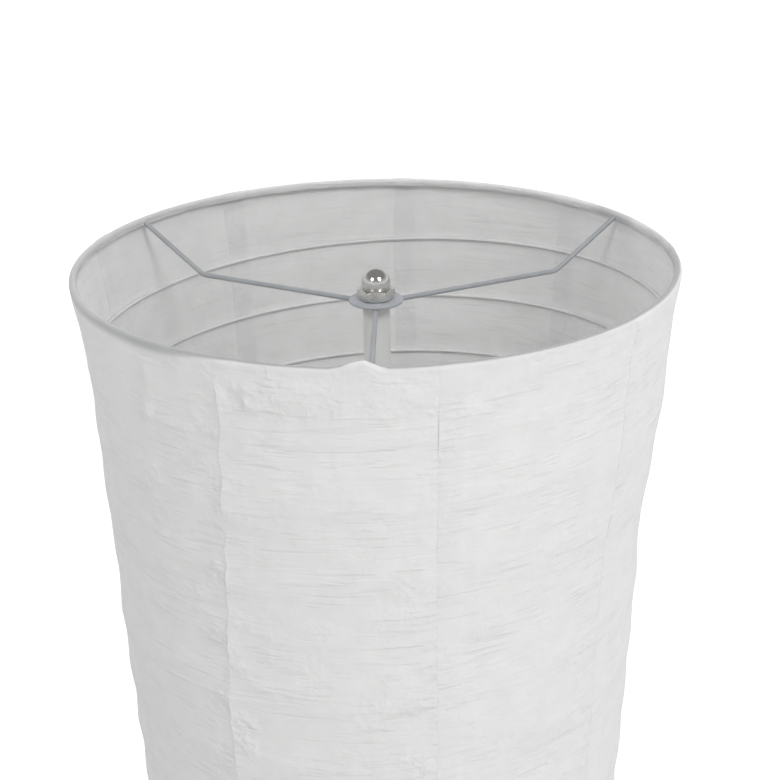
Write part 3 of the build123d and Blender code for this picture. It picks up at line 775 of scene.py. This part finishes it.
def strip_point(strip, across, line):
    """Place of a point of a strip, its arc from the strip's first edge, and how far it is lapped,
    crumpled, and darkened by glue soak and painted shade."""
    ring_level, out, up, slide, run = line
    start = first_seam + strip * strip_angle
    level = ring_level + slide
    left = start + free_edge(strip, level)
    next_edge = start + strip_angle + free_edge(strip + 1, level)
    turn = left + (next_edge + lap_angle - left) * across
    around = (turn - start) * mean_radius
    height = leaned(level, turn)
    depth = rim_height - level

    crumpled = crumpling(strip, around, level)
    handover = smooth_step(next_edge - radians(1.4), next_edge, turn)
    relief = crinkles(strip, around, level, crumpled) * (1 - handover)
    if handover > 0:
        other = crumpling(strip + 1, around - strip_arc, level)
        relief += crinkles(strip + 1, around - strip_arc, level, other) * handover
    from_end = min(depth, level - foot_height)
    loose = 0.1 + 0.9 * smooth_step(0, 18 * MM, from_end)

    # The free edge laps over the strip before and gapes here and there
    over = 1 - smooth_step(lap_angle - lap_ramp, lap_angle + lap_ramp, turn - left)
    from_edge = (turn - left) * mean_radius
    curl = MM * gape(strip, level) * loose * (1 - smooth_step(0, 3.5 * MM, from_edge))
    # Both strips rise in one crumpled crest along the left seam
    crest = 1.0 + 1.1 * noise.noise(Vector((3.1, 42 * level, 8.0)))
    if strip == left_seam_strip:
        relief += max(crest, 0) * MM * (1 - smooth_step(0, 8 * MM, from_edge)) * (1 - handover)
    if (strip + 1) % strip_count == left_seam_strip:
        to_next = (next_edge - turn) * mean_radius
        flank = 1 - smooth_step(0, 4.5 * MM if to_next > 0 else 8 * MM, abs(to_next))
        relief += max(crest, 0) * MM * flank
    # A lap lies over its neighbour, pressed down at its very edge
    pressed = 0.25 + 0.75 * smooth_step(0, 3 * MM, from_edge)
    lift = (paper_sheet + glue) * over * pressed + curl

    fold_place = fold_angle - fold_drift * min(depth / fold_drift_depth, 1)
    from_fold = angle_between(turn, fold_place) * mean_radius
    fold_end = smooth_step(0, 5 * MM, depth) * (1 - smooth_step(34 * MM, 56 * MM, depth))
    fold_wave = 1 + 0.6 * noise.noise(Vector((0.7, 150 * level, 3.0)))
    from_fold += 0.8 * MM * noise.noise(Vector((5.7, 170 * level, 1.0)))
    fold_fall = fold_left if from_fold < 0 else fold_right
    relief += fold_height * fold_end * fold_wave * (1 - smooth_step(0, fold_fall, abs(from_fold)))

    arm_arc = angle_between(turn, front_arm_angle) * end_radius + tent_shift
    flank = tent_left if arm_arc < 0 else tent_right
    tent = tent_height * max(1 - abs(arm_arc) / flank, 0) * (1 - smooth_step(0, tent_fall, depth))
    if out < 0:
        tent *= up

    core = column_radius(height) - strip_allowance - glue - wire_radius
    core += (paper_swell(turn, level) + relief) * loose
    radius = core + (wrap_radius + lift) * out + 0.25 * tent
    torn = 0.3 * slide * noise.noise(Vector((11 * cos(turn), 11 * sin(turn), 6.6)))
    rise = height + (wrap_radius + lift) * up + torn + tent
    point = (radius * cos(turn), radius * sin(turn), rise)
    under = smooth_step(next_edge - lap_ramp, next_edge + lap_ramp, turn)
    # Near the top rim the paper is darkened by glue soak and painted shade
    soak_and_shade_share = glue_soak_and_shade(turn, run + pi * wrap_radius / 2) if depth < soak_and_shade_depth else 0
    return point, around, (max(over, under), crumpled, soak_and_shade_share)


def crumpled_paper_group():
    """Node group: the fine relief of thin paper, in mm, and a mask of its creases, used for painted shade
    in them. Its vector is the flat sheet in metres, along and down."""
    group, given, result = node_group(
        "Crumpled paper",
        {"Vector": "Vector", "Crumpled": "Float", "Outside": "Float", "Facets per metre": "Float",
         "Facet depth": "Float", "Crease depth": "Float", "Fibre depth": "Float"},
        {"Height": "Float", "Crease": "Float"},
    )
    nodes, links = group.nodes, group.links

    def noise_field(stretch, detail=2.0, distortion=0.0):
        mapping = nodes.new("ShaderNodeMapping")
        mapping.inputs["Scale"].default_value = stretch
        field = nodes.new("ShaderNodeTexNoise")
        field.inputs["Scale"].default_value = 1
        field.inputs["Detail"].default_value = detail
        field.inputs["Distortion"].default_value = distortion
        links.new(given.outputs["Vector"], mapping.inputs["Vector"])
        links.new(mapping.outputs["Vector"], field.inputs["Vector"])
        return field.outputs["Fac"]

    def calculate(operation, first, second=None, third=None):
        step = nodes.new("ShaderNodeMath")
        step.operation = operation
        for number, value in enumerate((first, second, third)):
            if isinstance(value, (int, float)):
                step.inputs[number].default_value = value
            elif value is not None:
                links.new(value, step.inputs[number])
        return step.outputs[0]

    def ramp(value, low, high, at_low, at_high):
        curve = ranged(nodes, low, high, at_low, at_high)
        curve.interpolation_type = "SMOOTHSTEP"
        links.new(value, curve.inputs["Value"])
        return curve.outputs["Result"]

    # Short thin creases along the sheet: the peaks of a field that is stretched along it
    patches = ramp(noise_field((24, 34, 1.3), 1.0), 0.36, 0.62, 0.25, 1)
    long_creases = ramp(noise_field((24, 260, 1), 1.0), 0.55, 0.7, 0, 1)
    short_creases = ramp(noise_field((60, 380, 5.1), 1.0), 0.55, 0.72, 0, 0.7)
    crease = calculate("MULTIPLY", calculate("MAXIMUM", long_creases, short_creases), patches)
    lip = ramp(noise_field((34, 340, 7.1), 1.0), 0.6, 0.74, 0, 0.6)

    # Crumples: shallow cells that meet in crisp ridges, as crushed paper has
    wander = nodes.new("ShaderNodeTexNoise")
    wander.inputs["Scale"].default_value = 90
    wandered = nodes.new("ShaderNodeVectorMath")
    wandered.operation = "MULTIPLY_ADD"
    wandered.inputs[1].default_value = (0.011, 0.011, 0)
    cells = nodes.new("ShaderNodeTexVoronoi")
    cells.voronoi_dimensions = "2D"
    cells.inputs["Detail"].default_value = 1.4
    cells.inputs["Roughness"].default_value = 0.55
    links.new(given.outputs["Vector"], wander.inputs["Vector"])
    links.new(wander.outputs["Color"], wandered.inputs[0])
    links.new(given.outputs["Vector"], wandered.inputs[2])
    links.new(wandered.outputs["Vector"], cells.inputs["Vector"])
    links.new(given.outputs["Facets per metre"], cells.inputs["Scale"])
    spread = ramp(noise_field((38, 38, 3.3), 1.0), 0.4, 0.62, 0.2, 1)
    strength = calculate("MULTIPLY_ADD", given.outputs["Crumpled"], 0.75, 0.25)
    crisp = calculate("MULTIPLY", cells.outputs["Distance"], 0.5)
    facet = calculate("MULTIPLY_ADD", noise_field((130, 150, 8.8), 1.0), 1.3, crisp)
    facet = calculate("MULTIPLY", facet, given.outputs["Facet depth"])
    facet = calculate("MULTIPLY", facet, calculate("MULTIPLY", strength, spread))

    fibres = calculate("MULTIPLY", noise_field((420, 900, 1), 3.0), given.outputs["Fibre depth"])
    folded = calculate("SUBTRACT", calculate("MULTIPLY", lip, 0.6), crease)
    folded = calculate("MULTIPLY", folded, given.outputs["Crease depth"])
    height = calculate("ADD", calculate("ADD", facet, fibres), folded)
    height = calculate("MULTIPLY", height, given.outputs["Outside"])
    links.new(height, result.inputs["Height"])
    links.new(crease, result.inputs["Crease"])
    return group


def crepe_paper():
    """White crepe paper: fine creases darkened with painted shade, crumpled patches, pale laps, and a rim
    band darkened by glue over the wire and by painted shade.
    """
    material = bpy.data.materials.new("White crepe paper")
    material.use_nodes = True
    nodes, links = material.node_tree.nodes, material.node_tree.links
    shader = nodes["Principled BSDF"]
    flat = nodes.new("ShaderNodeUVMap")
    flat.uv_map = "Flat"
    finish = nodes.new("ShaderNodeGroup")
    finish.node_tree = uneven_finish
    finish.inputs["Light tone"].default_value = (0.87, 0.87, 0.867, 1)
    finish.inputs["Dark tone"].default_value = (0.835, 0.835, 0.832, 1)
    finish.inputs["Cloud scale"].default_value = 70
    finish.inputs["Grain scale"].default_value = 900
    finish.inputs["Smoothest"].default_value = 0.85
    finish.inputs["Roughest"].default_value = 1.0
    relief = nodes.new("ShaderNodeGroup")
    relief.node_tree = crumpled_paper_group()
    relief.inputs["Facets per metre"].default_value = 150
    relief.inputs["Facet depth"].default_value = 1.4
    relief.inputs["Crease depth"].default_value = 0.32
    relief.inputs["Fibre depth"].default_value = 0.06
    crumpled = nodes.new("ShaderNodeAttribute")
    crumpled.attribute_name = "crumpled"
    outside = nodes.new("ShaderNodeAttribute")
    outside.attribute_name = "outside"
    links.new(flat.outputs["UV"], finish.inputs["Vector"])
    links.new(flat.outputs["UV"], relief.inputs["Vector"])
    links.new(crumpled.outputs["Fac"], relief.inputs["Crumpled"])
    links.new(outside.outputs["Fac"], relief.inputs["Outside"])
    tone = finish.outputs["Color"]
    # Pale laps, then the rim band darkened by glue soak and painted shade, each mixed over the tone
    for attribute, strength, colour in (
        ("lap", 0.45, (0.91, 0.91, 0.908, 1)),
        ("glue_soak_and_shade", 0.9, (0.39, 0.395, 0.405, 1)),
    ):
        mask = nodes.new("ShaderNodeAttribute")
        mask.attribute_name = attribute
        share = maths(nodes, "MULTIPLY", strength)
        mixed = mix_of_tones(nodes, colour)
        links.new(mask.outputs["Fac"], share.inputs[0])
        links.new(share.outputs[0], mixed.inputs["Factor"])
        links.new(tone, mixed.inputs["A"])
        tone = mixed.outputs["Result"]
    # Painted shade: the base colour is darkened a little along the creases
    crease_shade_share = maths(nodes, "MULTIPLY", 0.1)
    shaded = mix_of_tones(nodes, (0.62, 0.62, 0.62, 1))
    bump = nodes.new("ShaderNodeBump")
    bump.inputs["Strength"].default_value = 1
    bump.inputs["Distance"].default_value = MM
    links.new(relief.outputs["Crease"], crease_shade_share.inputs[0])
    links.new(crease_shade_share.outputs[0], shaded.inputs["Factor"])
    links.new(tone, shaded.inputs["A"])
    links.new(shaded.outputs["Result"], shader.inputs["Base Color"])
    links.new(finish.outputs["Roughness"], shader.inputs["Roughness"])
    links.new(relief.outputs["Height"], bump.inputs["Height"])
    links.new(bump.outputs["Normal"], shader.inputs["Normal"])
    shader.inputs["Specular IOR Level"].default_value = 0.15
    shader.inputs["Subsurface Weight"].default_value = 1
    shader.inputs["Subsurface Radius"].default_value = (1, 1, 1)
    shader.inputs["Subsurface Scale"].default_value = 0.22 * MM
    return material


def give_thickness(sheet):
    """Give a sheet its two faces, and mark the one that looks outwards, where creases show most."""
    front_count = len(sheet.data.vertices)
    wall = sheet.modifiers.new("Paper", "SOLIDIFY")
    wall.thickness = paper_sheet
    wall.offset = 0
    bpy.context.view_layer.objects.active = sheet
    bpy.ops.object.modifier_apply(modifier=wall.name)
    vertices = sheet.data.vertices
    middle = front_count // 2
    front_is_outside = vertices[middle].co.xy.length > vertices[middle + front_count].co.xy.length
    sides = [1.0 if front_is_outside else 0.3] * front_count
    sides += [0.3 if front_is_outside else 1.0] * (len(vertices) - front_count)
    sheet.data.attributes.new("outside", "FLOAT", "POINT").data.foreach_set("value", sides)


paper = crepe_paper()
noise.seed_set(5)               # without it noise_vector, which tilts the facets, starts from the clock
lines = strip_lines()
strip_rows = len(lines) - 1
for strip in range(strip_count):
    bpy.ops.object.select_all(action="DESELECT")
    bpy.ops.mesh.primitive_grid_add(x_subdivisions=strip_columns, y_subdivisions=strip_rows, size=1)
    gore = bpy.context.object
    flat_places = []
    marks = []
    for vertex in gore.data.vertices:
        across = vertex.co.x + 0.5
        if strip in (left_seam_strip - 1, left_seam_strip):
            across = gathered(across)
        line = lines[round((0.5 - vertex.co.y) * strip_rows)]
        point, around, mark = strip_point(strip, across, line)
        vertex.co = point
        flat_places.append((around + strip, line[4]))
        marks.append(mark)
    for number, mark_name in enumerate(("lap", "crumpled", "glue_soak_and_shade")):
        values = gore.data.attributes.new(mark_name, "FLOAT", "POINT")
        values.data.foreach_set("value", [mark[number] for mark in marks])
    flat_map = gore.data.uv_layers[0]
    flat_map.name = "Flat"
    corners = [axis for loop in gore.data.loops for axis in flat_places[loop.vertex_index]]
    flat_map.data.foreach_set("uv", corners)
    give_thickness(gore)
    place(gore, f"paper_strip_{strip + 1}", "shade", "paper", paper, f"paper_gore_{strip + 1}", smooth=75)

# Acorn nut
# Turned from hexagon brass, polished and nickel plated: chamfered flats, a shallow groove, and a
# domed cap that closes the thread. It holds the hub down on the pole.
nut_low, nut_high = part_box("cap_nut")
across_flats = nut_high.y - nut_low.y
corner = across_flats / sqrt(3)
dome_radius = 8.6 * MM
nut_bore = 5.05 * MM
thread_end = 11.0 * MM
hexagon_top = 7.0 * MM
chamfer_run = 1.4 * MM
groove = 0.7 * MM
nut_tip = 0.02 * MM             # a tiny circle that closes the dome, inside and out
dome_steps = 16
nut_outline = [
    (nut_tip, thread_end),
    (nut_bore, thread_end),
    (nut_bore, 0),
    (across_flats / 2 - 0.6 * MM, 0),
    (corner, 1.1 * MM),
    (corner, hexagon_top - chamfer_run),
    (dome_radius + 0.6 * MM, hexagon_top),
    (dome_radius - groove, hexagon_top),
    (dome_radius - groove, hexagon_top + 0.5 * MM),
    (dome_radius - 0.15 * MM, hexagon_top + 0.8 * MM),
    (dome_radius, hexagon_top + 1.2 * MM),
]
dome_base = nut_high.z - nut_low.z - dome_radius
for step in range(dome_steps):
    rise = pi / 2 * step / dome_steps
    nut_outline.append((dome_radius * cos(rise), dome_base + dome_radius * sin(rise)))
nut_outline.append((nut_tip, nut_high.z - nut_low.z))
nut = turned([(radius, nut_low.z + height) for radius, height in nut_outline], sides=96)
cut_to_hexagon(nut, across_flats, nut_low.z - MM, nut_high.z + MM)
soften(nut, 0.12 * MM, angle=35)
place(nut, "acorn_nut", "cap_nut", "nickel", nickel, "cap_nut")

# Floor and light
# A plain pale floor that runs out of sight, a white room that is brighter behind the lamp, two soft
# lamps above its sides, one low in front of it, and two small ones for glints on the metal.
bpy.ops.object.select_all(action="DESELECT")
bpy.ops.mesh.primitive_circle_add(vertices=96, radius=30, fill_type="NGON")
ground = bpy.context.object
ground.name = "floor"
floor_paint = bpy.data.materials.new("White floor")
floor_paint.use_nodes = True
nodes, links = floor_paint.node_tree.nodes, floor_paint.node_tree.links
nodes.remove(nodes["Principled BSDF"])


def seen_directly(nodes, links):
    """1 for rays from the camera, off metal and through glass, and 0 for all other light."""
    light_path = nodes.new("ShaderNodeLightPath")
    straight = maths(nodes, "MAXIMUM")
    either = maths(nodes, "MAXIMUM")
    links.new(light_path.outputs["Is Camera Ray"], straight.inputs[0])
    links.new(light_path.outputs["Is Glossy Ray"], straight.inputs[1])
    links.new(straight.outputs[0], either.inputs[0])
    links.new(light_path.outputs["Is Transmission Ray"], either.inputs[1])
    return either.outputs[0]


diffuse = nodes.new("ShaderNodeBsdfDiffuse")
diffuse.inputs["Color"].default_value = (0.75, 0.75, 0.75, 1)
glow = nodes.new("ShaderNodeEmission")
glow.inputs["Color"].default_value = (1, 1, 1, 1)
level_seen = maths(nodes, "MULTIPLY", 0.7)
both = nodes.new("ShaderNodeAddShader")
links.new(seen_directly(nodes, links), level_seen.inputs[0])
links.new(level_seen.outputs[0], glow.inputs["Strength"])
links.new(diffuse.outputs[0], both.inputs[0])
links.new(glow.outputs[0], both.inputs[1])
links.new(both.outputs[0], nodes["Material Output"].inputs["Surface"])
ground.data.materials.append(floor_paint)
ground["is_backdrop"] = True

room = bpy.data.worlds.new("Room")
room.use_nodes = True
bpy.context.scene.world = room
nodes, links = room.node_tree.nodes, room.node_tree.links
direction = nodes.new("ShaderNodeTexCoord")
upwards = nodes.new("ShaderNodeSeparateXYZ")
ceiling = ranged(nodes, 0.15, 0.6, 0.8, 0.25)
behind = ranged(nodes, -0.3, 0.3, 0.36, 0.94)
looked_at = nodes.new("ShaderNodeLightPath")
shown = maths(nodes, "MAXIMUM")
strength = nodes.new("ShaderNodeMix")
nodes["Background"].inputs["Color"].default_value = (1, 1, 1, 1)
links.new(direction.outputs["Generated"], upwards.inputs["Vector"])
links.new(upwards.outputs["Z"], ceiling.inputs["Value"])
links.new(upwards.outputs["Y"], behind.inputs["Value"])
links.new(behind.outputs["Result"], strength.inputs["A"])
links.new(ceiling.outputs["Result"], shown.inputs[0])
links.new(looked_at.outputs["Is Camera Ray"], shown.inputs[1])
links.new(shown.outputs[0], strength.inputs["B"])
links.new(seen_directly(nodes, links), strength.inputs["Factor"])
links.new(strength.outputs["Result"], nodes["Background"].inputs["Strength"])


lamp_target = Vector((0, 0, 1.1))
lamp_distance = 3.0


def soft_lamp(name, turn, rise, size, power):
    """Square soft lamp round the lamp's top, turned from the camera's side and raised by angles."""
    way = Vector((sin(turn) * cos(rise), -cos(turn) * cos(rise), sin(rise)))
    light = bpy.data.lights.new(name, "AREA")
    light.shape = "SQUARE"
    light.size = size
    light.energy = power
    lamp = bpy.data.objects.new(name, light)
    bpy.context.scene.collection.objects.link(lamp)
    lamp.location = lamp_target + lamp_distance * way
    lamp.rotation_euler = (-way).to_track_quat("-Z", "Y").to_euler()


soft_lamp("right lamp", radians(38), radians(45), size=0.9, power=22)
soft_lamp("left lamp", radians(-38), radians(45), size=0.9, power=13)
soft_lamp("front lamp", radians(26), radians(-8), size=0.9, power=14)
soft_lamp("right glint", radians(38), radians(26), size=0.16, power=0.5)
soft_lamp("left glint", radians(-38), radians(26), size=0.16, power=0.5)

# Camera
# In front of the lamp and above its rim, looking down on it, with the slight roll of the photograph.
camera_place = (0, -0.85928, 1.52593)
camera_tilt = radians(22.705)
camera_turn = radians(0.430)
camera_roll = radians(-1.284)
camera = bpy.data.objects.new("camera", bpy.data.cameras.new("camera"))
camera.data.sensor_width = 36
camera.data.lens = 71.78
camera.location = camera_place
camera.rotation_mode = "ZYX"
camera.rotation_euler = (pi / 2 - camera_tilt, -camera_turn, camera_roll)
bpy.context.scene.collection.objects.link(camera)
bpy.context.scene.camera = camera
bpy.context.scene.view_settings.view_transform = "Standard"

# Box round everything drawn, leaving out the floor
low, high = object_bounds()
